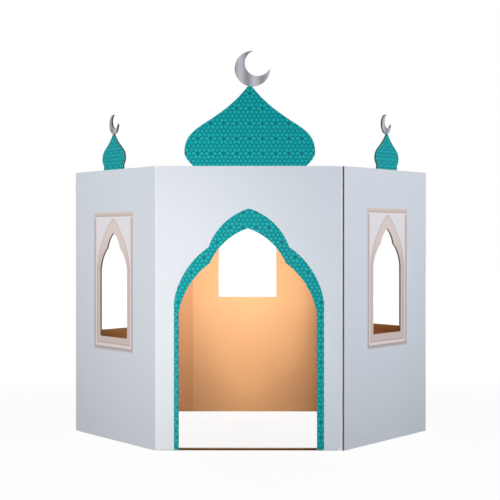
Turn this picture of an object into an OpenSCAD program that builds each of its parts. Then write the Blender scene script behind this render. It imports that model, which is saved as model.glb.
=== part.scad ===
// Open-topped playhouse in the shape of a small domed pavilion.
// Two printed sheets of double-wall corrugated board are folded into a six-sided ring of walls.
// The front sheet carries the doorway, the large dome and, at each end, a lap glued behind the rear sheet.
// Millimetres, +Z up, front wall towards -Y, origin on the floor at the middle of the plan.

/* [Board] */
// Thickness of the double-wall board
board = 7; // [4:0.5:9]
// Width of the pressed band along each side of a crease
crease_w = 7; // [4:0.5:10]
// Depth to which a crease is pressed into each face of the board
crease_press = 0.5; // [0.2:0.1:1]

/* [Walls] */
// Width of one side of the six-sided plan, along the walls' inner faces
panel_w = 800; // [760:5:1000]
// Height of the wall panels
wall_h = 1221; // [1120:1:1500]
// Angle by which the side walls turn away from the front and rear walls
splay = 58.1; // [54:0.1:64]
// Height of the rear wall's lower edge above the floor
rear_clear = 12; // [0:1:30]

/* [Corner laps] */
// Width of a lap flap, measured from its crease
lap_w = 100; // [60:5:140]
// Distance of the front lap's ends from the floor and from the wall's top edge
front_lap_inset = 2; // [1:1:40]
// Distance of the rear lap's ends from the floor and from the wall's top edge
rear_lap_inset = 14; // [10:1:40]
// Slant of a lap's ends, measured along the wall's height
lap_slant = 5; // [0:5:80]
// Gap between a bend and the raw edge of the sheet that covers its lap
seam = 1.5; // [0.5:0.25:4]
// Thickness of the glue line between a lap and the sheet that covers it
glue = 0.2; // [0.1:0.1:0.5]

/* [Doorway] */
// Width of the doorway
door_w = 593; // [540:1:610]
// Distance of the doorway's middle from the front wall's middle, away from the lapped corner
door_shift = 4; // [0:1:10]
// Height at which the door jambs end and the lower foils begin
door_spring = 588; // [520:2:620]
// Width between the two cusps of the door arch
door_cusp_w = 326; // [290:2:350]
// Height of the cusps of the door arch
door_cusp_h = 804; // [770:2:830]
// Height of the door arch's point
door_apex = 954; // [930:2:980]
// Radius of the lower foils of the door arch
door_low_r = 330; // [280:5:420]
// Radius of the upper foils of the door arch
door_top_r = 271; // [230:5:340]

/* [Threshold] */
// Depth of the flap that is folded in along the floor to tie the door jambs
tie_depth = 40; // [25:1:80]
// Width of the threshold flap at its crease
tie_w = 770; // [730:5:776]
// Amount by which each end of the threshold flap narrows towards its free edge
tie_taper = 15; // [0:1:30]
// Width of the relief notch at each end of the threshold crease
tie_relief = 5; // [2:0.5:8]

/* [Arched windows] */
// Width of the arched windows in the two front side walls
win_w = 268; // [220:2:300]
// Height of the front sheet's arched window sill
win_sill = 465; // [400:1:520]
// Height of an arched window's springing above its sill
win_spring = 305; // [270:2:320]
// Width between the cusps of a window arch
win_cusp_w = 128; // [110:2:150]
// Height of a window arch's cusps above its sill
win_cusp_h = 401; // [385:1:415]
// Height of a window arch's point above its sill
win_apex = 471; // [455:1:490]
// Radius of the lower foils of a window arch
win_low_r = 146; // [120:2:180]
// Radius of the upper foils of a window arch
win_top_r = 120; // [100:2:160]
// Amount by which the rear sheet's side openings sit higher than the front sheet's
rear_sheet_rise = 20; // [0:1:40]

/* [Plain openings] */
// Width of the plain openings in the two rear side walls
side_open_w = 450; // [380:5:520]
// Sill height of the front sheet's plain opening
side_open_sill = 468; // [420:2:520]
// Height of the plain side openings
side_open_h = 540; // [500:5:600]
// Width of the rear window
rear_win_w = 300; // [240:5:380]
// Sill height of the rear window
rear_win_sill = 607; // [560:1:660]
// Height of the rear window
rear_win_h = 400; // [360:5:440]
// Distance of the rear window's middle from the rear wall's middle, towards the lapped corner
rear_win_shift = 20; // [0:1:40]

/* [Large dome] */
// Width of the large dome where it rises from the wall
dome_base_w = 484; // [420:2:520]
// Greatest width of the large dome
dome_max_w = 560; // [530:2:620]
// Height of the large dome's greatest width above the wall
dome_max_h = 60; // [50:1:90]
// Height of the large dome's point above the wall
dome_h = 352; // [300:1:400]
// Outer radius of the large crescent
crescent_r = 76; // [60:1:90]
// Distance of the large crescent's middle from the dome's axis, to the right
crescent_dx = 11; // [0:1:20]

/* [Small domes] */
// Height of the straight drum below a small dome
drum_h = 20; // [10:1:40]
// Width of a small dome's drum
small_base_w = 194; // [170:2:218]
// Greatest width of a small dome
small_max_w = 226; // [222:2:260]
// Height of a small dome's greatest width above its drum
small_max_h = 27; // [20:1:45]
// Height of a small dome's point above its drum
small_h = 146; // [120:1:170]
// Outer radius of a small crescent
small_crescent_r = 44; // [36:1:52]
// Distance of the front sheet's small crescent from its dome's axis, to the right
small_crescent_dx = 2; // [-10:1:10]
// Distance of the rear sheet's small crescent from its dome's axis, to the right
rear_crescent_dx = -7; // [-10:1:10]

/* [Hidden] */
$fn = 96;

wall_white = [0.90, 0.92, 0.94];
dome_teal = [0.11, 0.56, 0.60];
crescent_silver = [0.66, 0.67, 0.70];

// Panels, counted anticlockwise in plan from the front wall
FRONT = 0;
FRONT_RIGHT = 1;
REAR_RIGHT = 2;
REAR = 3;
REAR_LEFT = 4;
FRONT_LEFT = 5;

// Bend at the two side corners, where the front and rear side walls meet
side_turn = 180 - 2 * splay;
headings = [0, splay, 180 - splay, 180, 180 + splay, 360 - splay];

// A lap lies one board and its glue inside the rear sheet, so its crease is drawn back from the corner:
// by lap_tuck along the front sheet's own panel, and by lap_lead along the panel that covers it
lap_in = board + glue;
lap_tuck = lap_in / sin(splay);
lap_lead = lap_in / tan(splay);
// Width that is left of a panel whose lap is tucked in
tucked_w = panel_w - lap_tuck;
// Where the rear sheet's raw edge stands beyond the corner
raw_edge = lap_lead - seam;
// Middle of the doorway along the front wall
door_middle = tucked_w / 2 - door_shift;

// Reach of the folded ring to the front and rear of the front wall's inner face, used to centre the plan
front_reach = min(-board, -raw_edge * sin(splay) - board * cos(splay));
rear_reach = 2 * panel_w * sin(splay) + board;
plan_middle = (front_reach + rear_reach) / 2;

// How far a pressed crease runs on inside the panels that it joins
crease_root = 3;
// Straight steps that make up the rounded outside of a crease
crease_steps = 8;

// How far outside the jamb's line a lower foil begins, so that the jamb cuts it off cleanly
foil_overrun = 1;

// Form of the onion outline: where the curves' handles lie, as shares of its own width and height
onion_foot = [0.1, 0.07];
onion_hip = 0.5;
onion_shoulder = 0.43;
onion_throat = [0.504, 0.63];
curve_steps = 14;

// Form of the crescent: the cut-away circle's radius and its shift up and to the right
crescent_cut = 0.733;
crescent_shift = [0.303, 0.316];
// How far a crescent's lowest point lies below the point of its dome, as a share of its radius
crescent_sink = 0.15;

function direction(angle) = [cos(angle), sin(angle)];

// Inner crease at which panel k begins
function crease(k) = k < 1
    ? [-panel_w / 2, -plan_middle]
    : crease(k - 1) + panel_w * direction(headings[k - 1]);

// Centre of the arc of radius r from p to q that bulges to the right of the way from p to q
function arc_centre(p, q, r) =
    let (chord = q - p, span = norm(chord))
    (p + q) / 2 - [chord.y, -chord.x] / span * sqrt(r * r - span * span / 4);

function curve(a, b, c, d) = [
    for (i = [0 : curve_steps])
        let (t = i / curve_steps, s = 1 - t)
        s * s * s * a + 3 * s * s * t * b + 3 * s * t * t * c + t * t * t * d
];

// Right half of an onion outline, from its foot to its point
function onion_side(base_w, max_w, max_h, h) =
    let (
        foot = [base_w / 2, 0],
        widest = [max_w / 2, max_h],
        rise = h - max_h,
        swell = widest - foot
    )
    concat(
        curve(foot, foot + [onion_foot.x * swell.x, onion_foot.y * swell.y],
            widest - [0, onion_hip * max_h], widest),
        curve(widest, widest + [0, onion_shoulder * rise],
            [onion_throat.x * widest.x, h - onion_throat.y * rise], [0, h])
    );

// Places children in the frame of panel k: X along the wall, Y inwards from its inner face
module on_panel(k) {
    translate(crease(k)) rotate(headings[k]) children();
}

// Stands an outline up as board, with its inner face on the panel's own
module stand() {
    rotate([90, 0, 0]) linear_extrude(board) children();
}

// Section of a pressed crease at a panel's end: square on the inside, rounded over on the outside
function crease_section(angle) =
    let (
        reach = crease_w + crease_root,
        inside = -crease_press,
        outside = crease_press - board,
        next = direction(angle),
        next_out = direction(angle - 90)
    )
    concat(
        [[-reach, inside], [crease_press * tan(angle / 2), inside]],
        [reach * next - inside * next_out, reach * next - outside * next_out],
        [for (i = [crease_steps : -1 : 0]) -outside * direction(angle * i / crease_steps - 90)],
        [[-reach, outside]]
    );

// Crease of the given length, upright at a panel's end
module crease_strip(angle, length) {
    translate([0, 0, crease_press]) linear_extrude(length - 2 * crease_press) polygon(crease_section(angle));
}

// Crease between two panels at the end of the first, as high as they are or inset as a lap is
module bend(angle, inset = 0) {
    translate([0, 0, inset]) crease_strip(angle, wall_h - 2 * inset);
}

// Lens between an arc's circle and its mirror image
module foils(centre, r) {
    intersection() {
        translate(centre) circle(r);
        translate([-centre.x, centre.y]) circle(r);
    }
}

// Opening with straight jambs and a pointed arch whose two pairs of foils meet at cusps
module cusped_arch(w, foot, spring, cusp_w, cusp_h, apex, low_r, top_r) {
    cusp = [cusp_w / 2, cusp_h];
    translate([-w / 2, foot]) square([w, spring - foot]);
    intersection() {
        translate([-w / 2, foot]) square([w, apex - foot]);
        union() {
            foils(arc_centre([w / 2 + foil_overrun, spring], cusp, low_r), low_r);
            foils(arc_centre(cusp, [0, apex], top_r), top_r);
        }
    }
}

module onion(base_w, max_w, max_h, h) {
    side = onion_side(base_w, max_w, max_h, h);
    last = len(side) - 1;
    polygon(concat(side, [for (i = [last : -1 : 0]) [-side[i].x, side[i].y]]));
}

// Crescent in one piece with its dome, drawn from the dome's point, which it covers
module crescent(r, dx) {
    translate([dx, (1 - crescent_sink) * r]) difference() {
        circle(r);
        translate(crescent_shift * r) circle(crescent_cut * r);
    }
}

module large_dome() {
    color(dome_teal) stand() translate([panel_w / 2, wall_h])
        onion(dome_base_w, dome_max_w, dome_max_h, dome_h);
    color(crescent_silver) stand() translate([panel_w / 2, wall_h + dome_h])
        crescent(crescent_r, crescent_dx);
}

module small_dome(dx) {
    color(dome_teal) stand() translate([panel_w / 2, wall_h]) {
        translate([-small_base_w / 2, 0]) square([small_base_w, drum_h]);
        translate([0, drum_h]) onion(small_base_w, small_max_w, small_max_h, small_h);
    }
    color(crescent_silver) stand() translate([panel_w / 2, wall_h + drum_h + small_h])
        crescent(small_crescent_r, dx);
}

module arched_window(rise) {
    sill = win_sill + rise;
    translate([panel_w / 2, 0])
        cusped_arch(win_w, sill, sill + win_spring, win_cusp_w, sill + win_cusp_h,
            sill + win_apex, win_low_r, win_top_r);
}

module side_opening(rise) {
    translate([(panel_w - side_open_w) / 2, side_open_sill + rise]) square([side_open_w, side_open_h]);
}

module wall(start, end, foot = 0) {
    translate([start, foot]) square([end - start, wall_h - foot]);
}

// Lap flap that continues the front sheet beyond a corner, drawn from its crease
module lap(inset) {
    polygon([
        [crease_w, inset],
        [lap_w, inset + lap_slant],
        [lap_w, wall_h - inset - lap_slant],
        [crease_w, wall_h - inset]
    ]);
}

// Front wall with the doorway cut out and its lower edge lifted over the threshold crease
module front_wall() {
    notch_w = tie_w + 2 * tie_relief;
    difference() {
        wall(crease_w, tucked_w - crease_w);
        translate([door_middle, 0])
            cusped_arch(door_w, 0, door_spring, door_cusp_w, door_cusp_h, door_apex, door_low_r, door_top_r);
        translate([(tucked_w - notch_w) / 2, 0]) square([notch_w, board + crease_w]);
    }
}

// Flap folded in along the floor: creased at the two jambs, free across the doorway
module threshold() {
    start = (tucked_w - tie_w) / 2;
    left_jamb = door_middle - door_w / 2;
    right_jamb = door_middle + door_w / 2;
    translate([0, 0, board]) rotate([0, 90, 0]) {
        translate([0, 0, start]) crease_strip(90, left_jamb - start);
        translate([0, 0, right_jamb]) crease_strip(90, start + tie_w - right_jamb);
    }
    translate([start, 0, 0]) linear_extrude(board) polygon([
        [0, crease_w],
        [tie_w, crease_w],
        [tie_w - tie_taper, tie_depth],
        [tie_taper, tie_depth]
    ]);
}

module front_wall_sheet() union() {
    color(wall_white) {
        on_panel(REAR) translate([panel_w + lap_lead, lap_in, 0]) {
            mirror([1, 0, 0]) stand() lap(rear_lap_inset);
            bend(splay, rear_lap_inset);
        }
        on_panel(REAR_LEFT) {
            stand() difference() {
                wall(lap_tuck + crease_w, panel_w - crease_w);
                side_opening(0);
            }
            translate([panel_w, 0, 0]) bend(side_turn);
        }
        on_panel(FRONT_LEFT) {
            stand() difference() {
                wall(crease_w, panel_w - crease_w);
                arched_window(0);
            }
            translate([panel_w, 0, 0]) bend(splay);
        }
        on_panel(FRONT) {
            stand() front_wall();
            threshold();
            translate([tucked_w, 0, 0]) bend(splay, front_lap_inset);
        }
        on_panel(FRONT_RIGHT) translate([-lap_lead, lap_in, 0]) stand() lap(front_lap_inset);
    }
    on_panel(FRONT_LEFT) small_dome(small_crescent_dx);
    on_panel(FRONT) large_dome();
}

module rear_wall_sheet() union() {
    color(wall_white) {
        on_panel(FRONT_RIGHT) {
            stand() difference() {
                wall(-raw_edge, panel_w - crease_w);
                arched_window(rear_sheet_rise);
            }
            translate([panel_w, 0, 0]) bend(side_turn);
        }
        on_panel(REAR_RIGHT) {
            stand() difference() {
                wall(crease_w, panel_w - crease_w);
                side_opening(rear_sheet_rise);
            }
            translate([panel_w, 0, 0]) bend(splay);
        }
        on_panel(REAR) stand() difference() {
            wall(crease_w, panel_w + raw_edge, rear_clear);
            translate([(panel_w - rear_win_w) / 2 + rear_win_shift, rear_win_sill])
                square([rear_win_w, rear_win_h]);
        }
    }
    on_panel(FRONT_RIGHT) small_dome(rear_crescent_dx);
}

front_wall_sheet();
rear_wall_sheet();
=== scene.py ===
"""Looks of an open-topped playhouse that is folded from two printed sheets of double-wall board.

Every sheet is built as the paper layers that it is made of: a printed outer liner, two fluted
mediums with a middle liner between them, and a brown inner liner. Metres, +Z up, the front wall
faces -Y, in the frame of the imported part.
"""

import logging
import math
from collections.abc import Iterable, Iterator, Sequence
from dataclasses import dataclass, field, replace
from enum import Enum
from itertools import pairwise
from typing import Any

import bmesh
import bpy
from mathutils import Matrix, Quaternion, Vector
from mathutils.geometry import delaunay_2d_cdt

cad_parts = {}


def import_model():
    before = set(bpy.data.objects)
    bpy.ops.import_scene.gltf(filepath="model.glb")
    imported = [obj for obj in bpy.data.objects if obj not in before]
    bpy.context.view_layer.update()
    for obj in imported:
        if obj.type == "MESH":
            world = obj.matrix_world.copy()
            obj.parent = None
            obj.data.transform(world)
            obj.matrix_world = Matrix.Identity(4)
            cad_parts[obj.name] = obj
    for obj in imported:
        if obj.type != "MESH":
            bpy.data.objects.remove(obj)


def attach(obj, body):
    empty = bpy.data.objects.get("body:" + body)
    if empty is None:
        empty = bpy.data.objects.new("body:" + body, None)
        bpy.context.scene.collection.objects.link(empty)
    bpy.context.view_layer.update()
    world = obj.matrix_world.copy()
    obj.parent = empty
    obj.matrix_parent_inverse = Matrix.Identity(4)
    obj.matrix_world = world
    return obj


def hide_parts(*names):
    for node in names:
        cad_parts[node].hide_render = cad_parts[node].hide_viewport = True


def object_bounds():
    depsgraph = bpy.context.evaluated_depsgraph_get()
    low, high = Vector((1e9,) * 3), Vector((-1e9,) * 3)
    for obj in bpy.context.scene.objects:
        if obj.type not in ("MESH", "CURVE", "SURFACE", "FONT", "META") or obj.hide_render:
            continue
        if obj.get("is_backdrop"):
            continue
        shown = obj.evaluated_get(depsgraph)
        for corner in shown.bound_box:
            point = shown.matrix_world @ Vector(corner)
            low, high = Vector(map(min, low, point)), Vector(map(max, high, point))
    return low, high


LOG = logging.getLogger("playhouse")
BODY = "root"

# Names of what the meshes carry for their materials and their flutes
PRINT_MAP = "Print"
FOLD_MARK = "fold"
RUN_MARK = "run"
OUTWARD_MARK = "outward"

# Distance under which two points count as one
SAME_PLACE = 1e-6
FULL_TURN = 2 * math.pi

Loop = list[Vector]
Span = tuple[float, float]
Triple = tuple[float, float, float]
Colour = tuple[float, float, float, float]
Stops = Sequence[tuple[float, Colour]]


def ink(red: int, green: int, blue: int) -> Colour:
    """Turns a colour as it is seen on screen into linear light.

    Args:
        red: Red, 0 to 255.
        green: Green, 0 to 255.
        blue: Blue, 0 to 255.

    Returns:
        The linear colour with full alpha.
    """
    linear = []
    for part in (red, green, blue):
        share = part / 255
        linear.append(share / 12.92 if share <= 0.04045 else ((share + 0.055) / 1.055) ** 2.4)
    return (*linear, 1.0)


WALL_WHITE = ink(224, 231, 241)


# Sizes of the object


@dataclass(frozen=True)
class Medium:
    """Fluted layer of the board: its piece's name, its distance from the inner face, its flutes."""

    name: str
    low: float
    height: float
    pitch: float


@dataclass(frozen=True)
class Board:
    """Layers of the double-wall board, from its brown inner face outwards."""

    thickness: float = 0.0070
    liner: float = 0.0005
    medium: float = 0.0003
    coarse_height: float = 0.0034
    coarse_pitch: float = 0.0079
    fine_height: float = 0.0022
    fine_pitch: float = 0.0063
    flute_recess: float = 0.0006
    flute_least: float = 0.0024
    flute_steps: int = 8
    crease_w: float = 0.0070
    crease_press: float = 0.0005

    @property
    def middle(self) -> float:
        """Depth of the middle liner's outer face."""
        return self.thickness - self.liner - self.fine_height

    @property
    def brown_liners(self) -> dict[str, float]:
        """Depth of the brown liners' inner faces, by their pieces' names."""
        return {"middle_liner": self.middle - self.liner, "inner_liner": 0.0}

    @property
    def mediums(self) -> tuple[Medium, Medium]:
        """The fluted layers, the coarse one innermost."""
        return (Medium("coarse_flutes", self.liner, self.coarse_height, self.coarse_pitch),
                Medium("fine_flutes", self.middle, self.fine_height, self.fine_pitch))

    def pressed(self, depth: float) -> float:
        """Gives the depth at which a layer lies inside a pressed crease."""
        share = depth / self.thickness
        return self.crease_press + share * (self.thickness - 2 * self.crease_press)


@dataclass(frozen=True)
class Arch:
    """Opening or printed outline with straight jambs and a pointed arch of two pairs of foils."""

    width: float
    foot: float
    spring: float
    cusp_w: float
    cusp_h: float
    apex: float
    low_r: float
    top_r: float

    def lifted(self, rise: float) -> "Arch":
        """Gives the same arch at another height."""
        return replace(self, foot=self.foot + rise, spring=self.spring + rise,
                       cusp_h=self.cusp_h + rise, apex=self.apex + rise)

    def jambs(self, middle: float) -> Span:
        """Gives where the two jambs stand along the wall."""
        return middle - self.width / 2, middle + self.width / 2

    def loop(self, middle: float, grow: float = 0.0) -> Loop:
        """Draws the outline.

        Args:
            middle: Where the arch's axis stands along the wall.
            grow: How far the outline is moved outwards all round, apart from its foot.

        Returns:
            The closed outline, anticlockwise.
        """
        half = self.width / 2 + grow
        spring = Vector((half, self.spring))
        slant = Vector((self.cusp_w / 2, self.apex - self.cusp_h)).normalized()
        cusp = Vector((self.cusp_w / 2, self.cusp_h)) + grow * Vector((slant.y, slant.x))
        tip = Vector((0.0, self.apex + grow / slant.x))
        side = [Vector((half, self.foot))]
        side += arc(spring, cusp, self.low_r + grow)
        side += arc(cusp, tip, self.top_r + grow)[1:]
        return mirrored(side, middle)


@dataclass(frozen=True)
class Onion:
    """Onion outline of a dome, on a straight drum where it has one."""

    base_w: float
    max_w: float
    max_h: float
    height: float
    drum_h: float = 0.0
    foot: Span = (0.1, 0.07)
    hip: float = 0.5
    shoulder: float = 0.43
    throat: Span = (0.504, 0.63)
    steps: int = 28

    def loop(self, middle: float, base: float) -> Loop:
        """Draws the outline.

        Args:
            middle: Where the dome's axis stands along the wall.
            base: Height at which the dome rises from the wall.

        Returns:
            The closed outline, anticlockwise.
        """
        low = base + self.drum_h
        start = Vector((self.base_w / 2, low))
        widest = Vector((self.max_w / 2, low + self.max_h))
        tip = Vector((0.0, low + self.height))
        swell = widest - start
        rise = self.height - self.max_h
        foot = start + Vector((self.foot[0] * swell.x, self.foot[1] * swell.y))
        hip = widest - Vector((0.0, self.hip * self.max_h))
        shoulder = widest + Vector((0.0, self.shoulder * rise))
        throat = Vector((self.throat[0] * widest.x, tip.y - self.throat[1] * rise))
        side = [Vector((self.base_w / 2, base))] if self.drum_h else []
        side += self.curve(start, foot, hip, widest)
        side += self.curve(widest, shoulder, throat, tip)[1:]
        return mirrored(side, middle)

    def curve(self, a: Vector, b: Vector, c: Vector, d: Vector) -> Loop:
        """Follows a cubic curve.

        Args:
            a: Where it starts.
            b: The handle that it leaves towards.
            c: The handle that it comes in from.
            d: Where it ends.

        Returns:
            Its points.
        """
        points = []
        for step in range(self.steps + 1):
            t = step / self.steps
            s = 1 - t
            points.append(s**3 * a + 3 * s * s * t * b + 3 * s * t * t * c + t**3 * d)
        return points


@dataclass(frozen=True)
class Crescent:
    """Crescent that covers the point of a dome."""

    radius: float
    shift: float
    cut: float = 0.733
    cut_shift: Span = (0.303, 0.316)
    sink: float = 0.15
    steps: int = 72

    def loops(self, middle: float, tip: float) -> tuple[Loop, Loop]:
        """Draws the crescent.

        Args:
            middle: Where the dome's axis stands along the wall.
            tip: Height of the dome's point.

        Returns:
            The outline that is board, and the one that is cut away.
        """
        centre = Vector((middle + self.shift, tip + (1 - self.sink) * self.radius))
        hollow = centre + self.radius * Vector(self.cut_shift)
        return circle(centre, self.radius, self.steps), circle(hollow, self.cut * self.radius, self.steps)


@dataclass(frozen=True)
class House:
    """Driving sizes of the folded ring of walls and of the print on it."""

    board: Board = Board()
    panel_w: float = 0.800
    wall_h: float = 1.221
    splay: float = math.radians(58.1)
    rear_clear: float = 0.012
    lap_w: float = 0.100
    front_lap_inset: float = 0.002
    rear_lap_inset: float = 0.014
    lap_slant: float = 0.005
    seam: float = 0.0015
    glue: float = 0.0002
    door: Arch = Arch(0.593, 0.0, 0.588, 0.326, 0.804, 0.954, 0.330, 0.271)
    door_shift: float = 0.004
    tie_depth: float = 0.040
    tie_w: float = 0.770
    tie_taper: float = 0.015
    tie_relief: float = 0.005
    window: Arch = Arch(0.268, 0.465, 0.770, 0.128, 0.866, 0.936, 0.146, 0.120)
    rear_sheet_rise: float = 0.020
    side_open_w: float = 0.450
    side_open_sill: float = 0.468
    side_open_h: float = 0.540
    rear_win_w: float = 0.300
    rear_win_sill: float = 0.607
    rear_win_h: float = 0.400
    rear_win_shift: float = 0.020
    dome: Onion = Onion(0.484, 0.560, 0.060, 0.352)
    small_dome: Onion = Onion(0.194, 0.226, 0.027, 0.146, 0.020)
    crescent: Crescent = Crescent(0.076, 0.011)
    left_crescent: Crescent = Crescent(0.044, 0.002)
    right_crescent: Crescent = Crescent(0.044, -0.007)
    band: Arch = Arch(0.644, 0.0, 0.640, 0.346, 0.874, 1.039, 0.354, 0.263)
    band_shift: float = 0.0035
    band_star: Span = (0.0270, 0.9582)
    dome_star_rise: float = 0.0533
    left_frame: Span = (0.396, 0.411)
    right_frame: Span = (0.404, 0.428)

    @property
    def lap_in(self) -> float:
        """How far inside the covering panel a lap lies."""
        return self.board.thickness + self.glue

    @property
    def lap_tuck(self) -> float:
        """How far a lap's crease is drawn back along its own sheet's panel."""
        return self.lap_in / math.sin(self.splay)

    @property
    def lap_lead(self) -> float:
        """How far a lap's crease stands beyond the corner, along the covering panel."""
        return self.lap_in / math.tan(self.splay)

    @property
    def tucked_w(self) -> float:
        """Width that is left of a panel whose lap is tucked in."""
        return self.panel_w - self.lap_tuck

    @property
    def raw_edge(self) -> float:
        """How far the rear sheet's raw edge stands beyond the corner."""
        return self.lap_lead - self.seam

    @property
    def door_middle(self) -> float:
        """Where the doorway's middle stands along the front wall."""
        return self.tucked_w / 2 - self.door_shift

    @property
    def band_middle(self) -> float:
        """Where the middle of the band round the doorway stands along the front wall."""
        return self.panel_w / 2 - self.band_shift

    @property
    def tie_ends(self) -> Span:
        """Where the flap along the floor begins and ends along the front wall."""
        return (self.tucked_w - self.tie_w) / 2, (self.tucked_w + self.tie_w) / 2

    @property
    def dome_star(self) -> Span:
        """Where a star of the domes' lattice stands, from the wall's middle and from the floor."""
        return 0.0, self.wall_h + self.dome_star_rise

    @property
    def headings(self) -> list[float]:
        """Headings of the six panels, anticlockwise from the front wall."""
        turn = self.splay
        return [0.0, turn, math.pi - turn, math.pi, math.pi + turn, FULL_TURN - turn]


class Side(Enum):
    """Panels of the ring, anticlockwise in plan from the front wall."""

    FRONT = 0
    FRONT_RIGHT = 1
    REAR_RIGHT = 2
    REAR = 3
    REAR_LEFT = 4
    FRONT_LEFT = 5


class Field(Enum):
    """Fields of colour on the printed face, each over those before it."""

    WALL = "wall_white"
    DOME = "dome_lattice"
    CRESCENT = "crescent_silver"
    BAND = "doorway_lattice"
    MOULDING = "window_moulding"
    SPANDREL = "window_spandrel"
    CORNICE = "window_cornice"
    ARCH_LINE = "window_arch_line"
    ARCH = "window_arch"


# Outlines in the plane of a wall


def arc(start: Vector, end: Vector, radius: float, steps: int = 24) -> Loop:
    """Follows an arc that bulges to the right of the way from start to end.

    Args:
        start: Where it starts.
        end: Where it ends.
        radius: Its radius.
        steps: How many straight steps it is drawn in.

    Returns:
        Its points.
    """
    chord = end - start
    span = chord.length
    away = Vector((chord.y, -chord.x)) / span
    centre = (start + end) / 2 - away * math.sqrt(max(radius * radius - span * span / 4, 0.0))
    first = math.atan2(start.y - centre.y, start.x - centre.x)
    last = math.atan2(end.y - centre.y, end.x - centre.x)
    if last < first:
        last += FULL_TURN
    return [spoke(centre, radius, first + (last - first) * step / steps) for step in range(steps + 1)]


def circle(centre: Vector, radius: float, steps: int) -> Loop:
    """Draws a circle, anticlockwise."""
    return [spoke(centre, radius, FULL_TURN * step / steps) for step in range(steps)]


def spoke(centre: Vector, reach: float, angle: float) -> Vector:
    """Gives the point at a distance and an angle from a centre."""
    return centre + reach * Vector((math.cos(angle), math.sin(angle)))


def rectangle(left: float, right: float, low: float, high: float) -> Loop:
    """Draws a rectangle, anticlockwise."""
    return [Vector(corner) for corner in ((right, low), (right, high), (left, high), (left, low))]


def centred(middle: float, width: float, low: float, high: float) -> Loop:
    """Draws a rectangle round an upright axis, anticlockwise."""
    return rectangle(middle - width / 2, middle + width / 2, low, high)


def mirrored(side: Loop, middle: float) -> Loop:
    """Closes a right-hand outline with its mirror image and moves it to its middle."""
    other = [Vector((-p.x, p.y)) for p in reversed(side) if p.x > SAME_PLACE]
    return [p + Vector((middle, 0.0)) for p in [*side, *other]]


def crossings(loop: Loop, x: float) -> list[Span]:
    """Finds where an upright line runs inside an outline.

    Args:
        loop: The outline.
        x: Where the line stands.

    Returns:
        The heights between which it is inside, from the lowest up.
    """
    heights = []
    for p, q in pairwise([*loop, loop[0]]):
        if (p.x <= x) != (q.x <= x):
            heights.append(p.y + (q.y - p.y) * (x - p.x) / (q.x - p.x))
    heights.sort()
    return list(zip(heights[::2], heights[1::2]))


def united(spans: Iterable[Span]) -> list[Span]:
    """Joins spans that meet or overlap.

    Args:
        spans: The spans, in any order.

    Returns:
        The joined spans, from the lowest up.
    """
    joined: list[Span] = []
    for low, high in sorted(spans):
        if joined and low <= joined[-1][1] + SAME_PLACE:
            joined[-1] = (joined[-1][0], max(joined[-1][1], high))
        else:
            joined.append((low, high))
    return joined


def without(spans: list[Span], cuts: list[Span]) -> list[Span]:
    """Takes cuts out of spans.

    Args:
        spans: The spans.
        cuts: The stretches to take out.

    Returns:
        What is left.
    """
    for low, high in cuts:
        kept = []
        for start, end in spans:
            kept += [s for s in ((start, min(end, low)), (max(start, high), end)) if s[1] > s[0]]
        spans = kept
    return spans


# Walls, laps and folds


@dataclass(frozen=True)
class Plane:
    """Frame of a flat stretch of board: along it, up it, and outwards from its inner face."""

    origin: Vector
    along: Vector
    rise: Vector
    out: Vector

    def at(self, x: float, z: float, depth: float = 0.0) -> Vector:
        """Gives a point by its place in the outline and its distance from the inner face."""
        return self.origin + x * self.along + z * self.rise + depth * self.out

    def moved(self, x: float, inwards: float) -> "Plane":
        """Gives a plane that starts further along and lies further in."""
        return replace(self, origin=self.at(x, 0.0, -inwards))

    def turned_back(self) -> "Plane":
        """Gives the plane that runs the other way from the same start."""
        return replace(self, along=-self.along)


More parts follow.
